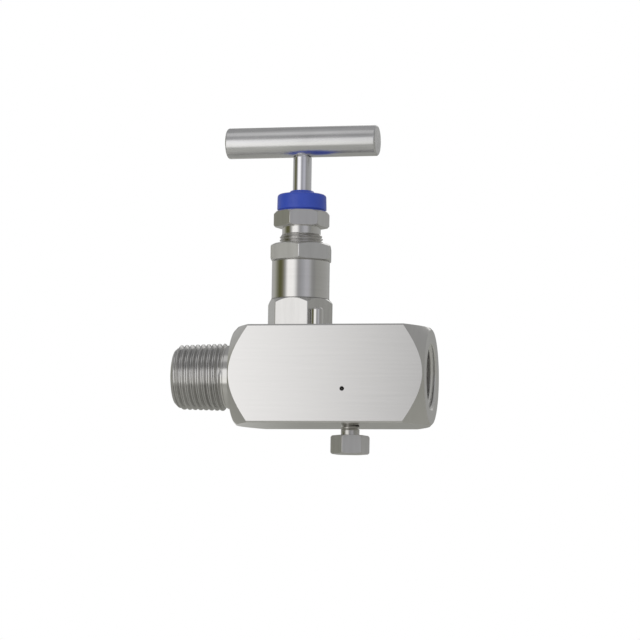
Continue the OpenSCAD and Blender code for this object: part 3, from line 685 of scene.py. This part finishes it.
# --- Gland bolt --------------------------------------------------------------------------------
# A hollow bolt that presses the packing down on the follower. Its thread shows above the lock
# nut, under a plain neck, and the boss on its head carries the dust cap.
gland_low, gland_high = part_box("gland_bolt")
gland_radius = 7 * MM
gland_pitch = 1 * MM
gland_depth = 0.61 * MM
gland_lead = 0.6 * MM
gland_neck_radius = 6.25 * MM
gland_flats = 15.8 * MM
gland_turn = 16
boss_radius = 6 * MM
gland_top = gland_high.z - 3.8 * MM
gland_foot = gland_top - 5.1 * MM
gland_seam = 45 * MM
gland_wall = np.array([
    (gland_low.z + gland_lead, gland_radius), (45.55 * MM, gland_radius),
    (46.3 * MM, gland_neck_radius)])
gland_lift = faded(35.5 * MM, 34.2 * MM, 0.8 * MM)
gland_round = round_from_corners(gland_turn)
gland_bolt = turned_piece(
    "gland_bolt_threaded", on_spindle, upright, gland_round,
    (rings(gland_round, eased([
        (gland_seam, stem_hole), (gland_low.z, stem_hole),
        (gland_low.z, gland_radius - gland_lead), gland_wall[0]])), 0),
    (thread_rows(gland_round, gland_wall,
                 zone=(gland_wall[0, 0] + 0.05 * MM, gland_wall[-1, 0] - 0.05 * MM),
                 pitch=gland_pitch, root=lambda at: gland_radius - gland_depth + gland_lift(at),
                 start=34.3 * MM), 2),
    (rings(gland_round, [
        gland_wall[-1], (46.5 * MM, gland_neck_radius),
        (gland_foot - 0.1 * MM, gland_neck_radius),
        (gland_foot, gland_neck_radius + 0.1 * MM)]), 0),
    (hexagon_rows(gland_round, gland_flats, gland_turn, foot=gland_foot, top=gland_top,
                  foot_bevel=0.6 * MM, top_bevel=0.9 * MM, slope=45), 1),
    (rings(gland_round, eased([
        (gland_top, boss_radius + 0.3 * MM), (gland_top, boss_radius),
        (gland_high.z, boss_radius), (gland_high.z, stem_hole), (gland_seam, stem_hole)])), 0))
stand_for(gland_bolt, "valve", "gland_bolt", "turned_steel", turned_barrel,
          steel_finish("gland hexagon flats", (0.69, 0.685, 0.68), 0.32, 2600, 1e-6,
                       unevenness=0.1, clouding=0.2, stretch=(1, 1, 0.1)),
          steel_finish("cut gland thread", (0.66, 0.65, 0.64), 0.14, 5000, 5e-7,
                       centre=on_spindle, axis=upright))

# --- Lock nut ----------------------------------------------------------------------------------
# A thin nut sawn from hexagonal bar and faced on both sides. Tightened against the bonnet's
# barrel it holds the gland bolt where it was set.
nut_low, nut_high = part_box("gland_lock_nut")
nut_flats = 19 * MM
nut_turn = -22.7
nut_chamfer = 0.4 * MM
nut_face = 8 * MM
nut_seam = (nut_low.z + nut_high.z) / 2
nut_round = round_from_corners(nut_turn)
lock_nut = turned_piece(
    "lock_nut", on_spindle, upright, nut_round,
    (rings(nut_round, eased([
        (nut_seam, gland_thread_bore), (nut_low.z, gland_thread_bore),
        (nut_low.z, nut_face)])), 0),
    (hexagon_rows(nut_round, nut_flats, nut_turn, foot=nut_low.z, top=nut_high.z,
                  foot_bevel=0.8 * MM, top_bevel=1.9 * MM, slope=30), 1),
    (rings(nut_round, eased([
        (nut_high.z, nut_face), (nut_high.z, gland_thread_bore + nut_chamfer),
        (nut_high.z - nut_chamfer, gland_thread_bore), (nut_seam, gland_thread_bore)])), 0))
stand_for(lock_nut, "valve", "gland_lock_nut", "turned_steel", turned_barrel,
          steel_finish("nut hexagon flats", (0.83, 0.828, 0.828), 0.3, 2600, 1e-6,
                       unevenness=0.1, clouding=0.2, stretch=(1, 1, 0.1)))

# --- Dust cap ----------------------------------------------------------------------------------
# A blue cap moulded in soft plastic and pushed over the boss on the gland bolt's head. Its
# shoulder is rounded, its rim flares a little unevenly over a shallow undercut, and a low hub
# wipes the stem.
cap_low, cap_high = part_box("dust_cap")
cap_radius = (cap_high.x - cap_low.x) / 2
cap_top = cap_high.z - 1.2 * MM
cap_shoulder = 0.9 * MM
cap_wall = 1.2 * MM
cap_fit = boss_radius + 0.05 * MM
undercut = cap_radius - 0.6 * MM
flare_height = 2.5 * MM
bend = np.radians(np.arange(0, 91, 11.25))
shoulder = np.stack([cap_top - cap_shoulder * (1 - np.sin(bend)),
                     cap_radius - cap_shoulder * (1 - np.cos(bend))], 1)
cap_outline = np.array([
    (cap_low.z + 1.2 * MM, cap_fit), (cap_low.z, cap_fit), (cap_low.z, undercut),
    (cap_low.z + 0.35 * MM, undercut), (cap_low.z + 0.45 * MM, cap_radius - 0.1 * MM),
    (cap_low.z + 0.6 * MM, cap_radius), *shoulder, (cap_top, 4.6 * MM),
    (cap_high.z, 3.7 * MM), (cap_high.z, stem_hole), (cap_top - cap_wall, stem_hole),
    (cap_top - cap_wall, cap_fit), (cap_low.z + 1.2 * MM, cap_fit)])
cap_round = np.linspace(0, 2 * math.pi, 121)
cap_at, cap_out = rings(cap_round, eased(cap_outline, 0.08 * MM))
outer = cap_out > 7 * MM
flare = np.clip((cap_low.z + flare_height - cap_at) / flare_height, 0, 1) ** 2
ripple = (np.sin(3 * cap_round + 0.6) + 0.6 * np.sin(5 * cap_round + 2)
          + 0.3 * np.sin(11 * cap_round))
drift_out = (flare * (0.10 + 0.05 * ripple) - 0.06 * (1 - flare)) * MM
cap_out = cap_out + outer * drift_out
dust_cap = turned_piece(
    "dust_cap_moulding", on_spindle, upright, cap_round, ((cap_at, cap_out), 0))
stand_for(dust_cap, "valve", "dust_cap", "cap_plastic", moulded(
    "blue moulded plastic", (0.052, 0.115, 0.73), (0.08, 0.155, 0.85), roughness=0.34,
    clouds_per_metre=420, cloud_detail=4, grains_per_metre=2600))

# --- T-bar -------------------------------------------------------------------------------------
# Plain round bar, ground along its length, drilled from below for the spindle's end and from
# behind for its grub screw.
tee_bar = machined_copy("handle_bar", "tee_bar", 0.12 * MM)
finish_shading(tee_bar, 32)
stand_for(tee_bar, "spindle", "handle_bar", "handle_steel",
          steel_finish("ground bar stock", (0.76, 0.76, 0.77), 0.27, 2600, 1e-6, unevenness=0.16,
                       clouding=0.55, stretch=(0.02, 1, 1)))

# --- Grub screw ----------------------------------------------------------------------------
# A socket screw behind the T-bar that bites on the spindle's filed flat.
on_grub = on_spindle + (handle_low.z + handle_high.z) / 2 * upright
finish_node("handle_grub_screw", steel_finish(
    "blackened grub screw", (0.34, 0.335, 0.33), 0.28, 5200, 1e-6, centre=on_grub,
    axis=towards_grub))

# --- Bleed screw -------------------------------------------------------------------------------
# A hexagon-headed vent screw with a fine thread below a plain shank. Its nose is peened in
# round a ball, which it presses on the vent's seat.
bleed_low, bleed_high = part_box("bleed_screw")
ball_low, ball_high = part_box("bleed_ball")
on_bleed = np.array([(bleed_low.x + bleed_high.x) / 2, 0, 0])
bleed_radius = 3 * MM
bleed_pitch = 1 * MM
bleed_depth = 0.58 * MM
bleed_flats = 11 * MM
bleed_turn = 15.8
bleed_head = bleed_low.z + 5.9 * MM
nose_radius = 2.4 * MM
nose_foot = -8.7 * MM
socket_radius = 1.82 * MM
socket_z = (ball_low.z + ball_high.z) / 2
bleed_wall = np.array([
    (bleed_head, bleed_radius), (nose_foot - bleed_radius + nose_radius, bleed_radius),
    (nose_foot, nose_radius)])
bleed_lift = faded(bleed_head + 2.2 * MM, bleed_head + 1.5 * MM, 0.8 * MM)
around = np.radians(np.linspace(105, 0, 12))
socket = np.stack([socket_z - socket_radius * np.cos(around), socket_radius * np.sin(around)], 1)
bleed_round = round_from_corners(bleed_turn)
bleed_screw = turned_piece(
    "bleed_screw_threaded", on_bleed, upright, bleed_round,
    (rings(bleed_round, [(bleed_low.z, 0), (bleed_low.z, 4 * MM)]), 0),
    (hexagon_rows(bleed_round, bleed_flats, bleed_turn, foot=bleed_low.z, top=bleed_head,
                  foot_bevel=0.5 * MM, top_bevel=0.5 * MM, slope=45), 1),
    (rings(bleed_round, [
        (bleed_head, bleed_radius + 0.3 * MM),
        (bleed_head + 0.05 * MM, bleed_radius + 0.02 * MM)]), 0),
    (thread_rows(bleed_round, bleed_wall, zone=(bleed_head + 0.1 * MM, nose_foot - 0.05 * MM),
                 pitch=bleed_pitch, root=lambda at: bleed_radius - bleed_depth + bleed_lift(at),
                 start=bleed_head + 0.3 * MM), 2),
    (rings(bleed_round, np.concatenate([
        eased([bleed_wall[-1], (bleed_high.z, nose_radius),
               (bleed_high.z, socket_radius - 0.06 * MM)]), socket])), 0))
stand_for(bleed_screw, "bleed_screw", "bleed_screw", "turned_steel",
          steel_finish("turned vent screw", steel_tint, 0.16, 4200, 1e-6, centre=on_bleed,
                       axis=upright),
          steel_finish("vent hexagon flats", (0.70, 0.695, 0.695), 0.42, 2600, 1e-6,
                       unevenness=0.1, clouding=0.3, stretch=(1, 1, 0.1)),
          steel_finish("cut vent thread", (0.6, 0.59, 0.57), 0.16, 5000, 5e-7,
                       centre=on_bleed, axis=upright))

# --- Bleed ball --------------------------------------------------------------------------------
# A hard ball, free to roll in the screw's nose, that shuts the vent's small orifice.
finish_node("bleed_ball", lapped_ball)

# --- Light, floor and camera -------------------------------------------------------------------
# A pale floor far below, in a studio whose grey walls differ from side to side. A large soft
# light stands at the front left and another behind and above. A card over the top and one at
# the rear left lighten what they don't reach.
floor_z = -300 * MM
floor_reach = 4.0


def flat_stage(name, corners):
    """A single flat face through the corners, which isn't part of the object."""
    mesh = bpy.data.meshes.new(name)
    mesh.from_pydata([tuple(c) for c in corners], [], [tuple(range(len(corners)))])
    card = new_piece(name, mesh)
    return card


floor = flat_stage("floor", [
    (-floor_reach, -floor_reach, floor_z), (floor_reach, -floor_reach, floor_z),
    (floor_reach, floor_reach, floor_z), (-floor_reach, floor_reach, floor_z)])
floor_paint = bpy.data.materials.new("pale floor")
floor_paint.use_nodes = True
tree = floor_paint.node_tree
shader = tree.nodes["Principled BSDF"]
shader.inputs["Base Color"].default_value = (0.86, 0.86, 0.85, 1)
shader.inputs["Roughness"].default_value = 0.9
shader.inputs["Specular IOR Level"].default_value = 0.1
seen = put(tree, "ShaderNodeLightPath").outputs["Is Camera Ray"]
glow = put(tree, "ShaderNodeMix", data_type="RGBA", sockets={
    "Factor": seen, "A": (0.03, 0.03, 0.01, 1), "B": (0.7, 0.7, 0.7, 1)})
tree.links.new(glow.outputs["Result"], shader.inputs["Emission Color"])
shader.inputs["Emission Strength"].default_value = 1.0
floor.data.materials.append(floor_paint)


def soft_light(name, azimuth, elevation, distance, width, height, strength, fade_left,
               fade_right, fade_ends):
    """A glowing card that faces the valve. Its azimuth counts from the vent hole's side towards
    the outlet. The glow is full inside, and fades out at the left edge, the right edge and the
    upper and lower ends over the given shares of the card's size."""
    azimuth, elevation = math.radians(azimuth), math.radians(elevation)
    out = np.array([math.sin(azimuth) * math.cos(elevation),
                    -math.cos(azimuth) * math.cos(elevation), math.sin(elevation)])
    aside = np.cross(upright, out)
    aside /= np.linalg.norm(aside)
    up = np.cross(out, aside)
    middle = on_spindle + out * distance
    card = flat_stage(name, [middle + aside * width * a / 2 + up * height * b / 2
                             for a, b in ((-1, -1), (1, -1), (1, 1), (-1, 1))])
    card.data.uv_layers.new(name="card")
    card.data.uv_layers["card"].uv.foreach_set("vector", [0, 0, 1, 0, 1, 1, 0, 1])
    glow = bpy.data.materials.new(name)
    glow.use_nodes = True
    tree = glow.node_tree
    tree.nodes.clear()
    where = put(tree, "ShaderNodeSeparateXYZ", sockets={
        0: put(tree, "ShaderNodeUVMap", uv_map="card").outputs[0]})
    level = strength
    for axis, dark, full in ((0, 0.0, fade_left), (0, 1.0, 1 - fade_right),
                             (1, 0.0, fade_ends), (1, 1.0, 1 - fade_ends)):
        edge = put(tree, "ShaderNodeMapRange", interpolation_type="SMOOTHSTEP", sockets={
            0: where.outputs[axis], 1: dark, 2: full, 3: 0.0, 4: 1.0})
        level = put(tree, "ShaderNodeMath", operation="MULTIPLY", sockets={
            0: level, 1: edge.outputs[0]}).outputs[0]
    emission = put(tree, "ShaderNodeEmission", sockets={
        "Color": (1, 0.99, 0.98, 1), "Strength": level})
    clear = put(tree, "ShaderNodeBsdfTransparent")
    both = put(tree, "ShaderNodeAddShader", sockets={0: emission.outputs[0], 1: clear.outputs[0]})
    put(tree, "ShaderNodeOutputMaterial", sockets={"Surface": both.outputs[0]})
    card.data.materials.append(glow)
    card.visible_camera = False
    card.visible_shadow = False


soft_light("front softbox", azimuth=-26.3, elevation=0, distance=0.45, width=0.52, height=0.50,
           strength=0.76, fade_left=0.32, fade_right=0.40, fade_ends=0.16)
soft_light("rear softbox", azimuth=176, elevation=34, distance=0.6, width=0.32, height=0.4,
           strength=0.8, fade_left=0.25, fade_right=0.25, fade_ends=0.25)
soft_light("ceiling card", azimuth=-22, elevation=63, distance=0.5, width=0.5, height=0.30,
           strength=0.28, fade_left=0.25, fade_right=0.25, fade_ends=0.3)
soft_light("rear left card", azimuth=-160, elevation=-6, distance=0.6, width=0.2, height=0.3,
           strength=0.45, fade_left=0.5, fade_right=0.5, fade_ends=0.3)

# The walls' colour by direction, in degrees counted as the lights' azimuth is: red, green, blue.
wall_tones = [
    (-180, 0.20, 0.20, 0.19), (-163, 0.24, 0.24, 0.23), (-150, 0.46, 0.46, 0.45),
    (-122, 0.455, 0.455, 0.44), (-111, 0.41, 0.41, 0.37), (-103, 0.31, 0.31, 0.26),
    (-94, 0.19, 0.19, 0.135), (-82, 0.115, 0.115, 0.055), (-72, 0.12, 0.12, 0.06),
    (-63, 0.20, 0.19, 0.14), (-57, 0.34, 0.34, 0.32), (-40, 0.36, 0.355, 0.35),
    (-8, 0.35, 0.35, 0.355), (9, 0.355, 0.355, 0.37), (20, 0.41, 0.415, 0.44),
    (30, 0.50, 0.50, 0.53), (43, 0.49, 0.49, 0.525), (50, 0.43, 0.43, 0.44),
    (57, 0.32, 0.32, 0.32), (66, 0.285, 0.285, 0.28), (78, 0.33, 0.33, 0.315),
    (110, 0.37, 0.37, 0.355), (140, 0.41, 0.41, 0.40), (160, 0.44, 0.44, 0.43),
    (171, 0.34, 0.34, 0.33), (180, 0.20, 0.20, 0.19)]
world = bpy.data.worlds.new("studio")
bpy.context.scene.world = world
world.use_nodes = True
tree = world.node_tree
tree.nodes.clear()
direction = put(tree, "ShaderNodeTexCoord").outputs["Generated"]
split = put(tree, "ShaderNodeSeparateXYZ", sockets={0: direction})
front = put(tree, "ShaderNodeMath", operation="MULTIPLY", sockets={0: split.outputs[1], 1: -1.0})
bearing = put(tree, "ShaderNodeMath", operation="ARCTAN2", sockets={
    0: split.outputs[0], 1: front.outputs[0]})
share = put(tree, "ShaderNodeMath", operation="MULTIPLY_ADD", sockets={
    0: bearing.outputs[0], 1: 1 / (2 * math.pi), 2: 0.5})
walls = put(tree, "ShaderNodeValToRGB", sockets={0: share.outputs[0]})
ramp = walls.color_ramp
while len(ramp.elements) > 1:
    ramp.elements.remove(ramp.elements[-1])
ramp.elements[0].position = 0.0
ramp.elements[0].color = (*wall_tones[0][1:], 1)
for angle, *tone in wall_tones[1:]:
    ramp.elements.new(angle / 360 + 0.5).color = (*tone, 1)
overhead = put(tree, "ShaderNodeMapRange", interpolation_type="SMOOTHSTEP", sockets={
    0: split.outputs[2], 1: 0.3, 2: 0.8, 3: 0.0, 4: 1.0})
studio = put(tree, "ShaderNodeMix", data_type="RGBA", sockets={
    "Factor": overhead.outputs[0], "A": walls.outputs[0], "B": (0.33, 0.33, 0.33, 1)})
seen = put(tree, "ShaderNodeLightPath").outputs["Is Camera Ray"]
backdrop = put(tree, "ShaderNodeMix", data_type="RGBA", sockets={
    "Factor": seen, "A": studio.outputs["Result"], "B": (1, 1, 1, 1)})
background = put(tree, "ShaderNodeBackground", sockets={0: backdrop.outputs["Result"]})
put(tree, "ShaderNodeOutputWorld", sockets={"Surface": background.outputs[0]})

camera_azimuth, camera_rise, camera_roll = np.radians([11.006, -5.91, 0.864])
camera_distance = 1.0
look_at = on_spindle + np.array([6.573, 0, 18.543]) * MM
back = np.array([math.sin(camera_azimuth) * math.cos(camera_rise),
                 -math.cos(camera_azimuth) * math.cos(camera_rise), math.sin(camera_rise)])
right = np.cross(-back, upright)
right /= np.linalg.norm(right)
above = np.cross(back, right)
rolled_right = right * math.cos(camera_roll) + above * math.sin(camera_roll)
rolled_above = above * math.cos(camera_roll) - right * math.sin(camera_roll)
camera = new_piece("camera", bpy.data.cameras.new("camera"))
camera.data.sensor_width = 36
camera.data.lens = 174.1
camera.data.clip_start = 0.05
camera.location = look_at + camera_distance * back
camera.rotation_mode = "QUATERNION"
camera.rotation_quaternion = Matrix(
    np.stack([rolled_right, rolled_above, back], 1).tolist()).to_quaternion()
bpy.context.scene.camera = camera
bpy.context.scene.view_settings.view_transform = "Standard"
